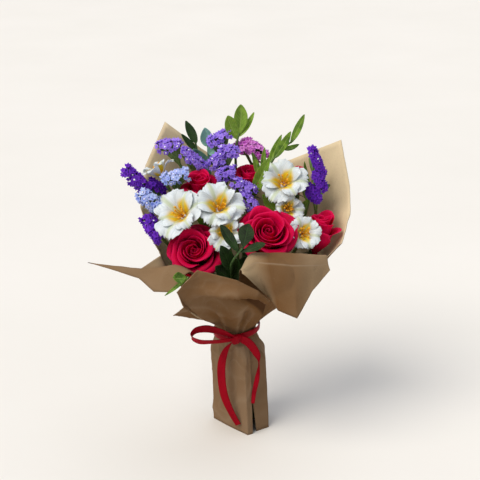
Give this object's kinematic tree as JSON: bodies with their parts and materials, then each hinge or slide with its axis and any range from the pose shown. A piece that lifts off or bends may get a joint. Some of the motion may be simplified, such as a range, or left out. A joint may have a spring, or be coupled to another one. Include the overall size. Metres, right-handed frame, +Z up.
{
  "type": "mixed flower bouquet",
  "caption": "Hand-tied bouquet of roses, alstroemeria, statice and greenery, wrapped in flaring kraft paper, tied with a ribbon and standing on its cut stems.",
  "frame": {"origin": "middle of the stem bundle's cut ends, on the surface that the bouquet stands on", "axes": "+Z up along the stems, +X to the viewer's right, +Y away from the viewer, who faces the paper's open front"},
  "size_m": [0.2933, 0.1699, 0.3841],
  "materials": {
    "rose_petal": "matt crimson petals with a soft sheen",
    "white_petal": "satiny white petals with a yellow throat",
    "green_leaf": "waxy mid-green leaves and stems",
    "dark_leaf": "waxy dark green leaves and stems",
    "blue_green_leaf": "matt blue-green leaves",
    "lavender_floret": "papery lavender florets on green stalks",
    "violet_floret": "papery deep violet florets on green stalks",
    "pale_blue_floret": "papery pale blue florets on green stalks",
    "pink_floret": "papery pink florets on green stalks",
    "kraft_paper": "matt brown kraft paper with soft creases",
    "ribbon_satin": "red satin ribbon"
  },
  "bodies": {
    "root": {"alstroemeria_1_bloom_1": "white_petal", "alstroemeria_1_bloom_2": "white_petal", "alstroemeria_1_bloom_3": "white_petal", "alstroemeria_1_bloom_4": "white_petal", "alstroemeria_1_stem": "green_leaf", "alstroemeria_2_bloom_1": "white_petal", "alstroemeria_2_bloom_2": "white_petal", "alstroemeria_2_bloom_3": "white_petal", "alstroemeria_2_stem": "green_leaf", "eucalyptus_sprig": "blue_green_leaf", "leaf_sprig_back": "dark_leaf", "leaf_sprig_front": "dark_leaf", "leaf_sprig_low": "green_leaf", "leaf_sprig_right": "green_leaf", "paper_back_sheet": "kraft_paper", "paper_flap_sheet": "kraft_paper", "paper_front_sheet": "kraft_paper", "ribbon": "ribbon_satin", "rose_1_bloom": "rose_petal", "rose_1_stem": "dark_leaf", "rose_2_bloom": "rose_petal", "rose_2_stem": "dark_leaf", "rose_3_bloom": "rose_petal", "rose_3_stem": "dark_leaf", "rose_4_bloom": "rose_petal", "rose_4_stem": "dark_leaf", "rose_5_bloom": "rose_petal", "rose_5_stem": "dark_leaf", "rose_6_bloom": "rose_petal", "rose_6_stem": "dark_leaf", "ruscus_sprig_top": "green_leaf", "statice_1_spray": "lavender_floret", "statice_2_spray": "lavender_floret", "statice_3_spray": "lavender_floret", "statice_4_spray": "violet_floret", "statice_5_spray": "pale_blue_floret", "statice_6_spray": "violet_floret", "statice_7_spray": "violet_floret", "statice_8_spray": "pink_floret", "willow_sprig_right": "green_leaf"}
  },
  "joints": []
}
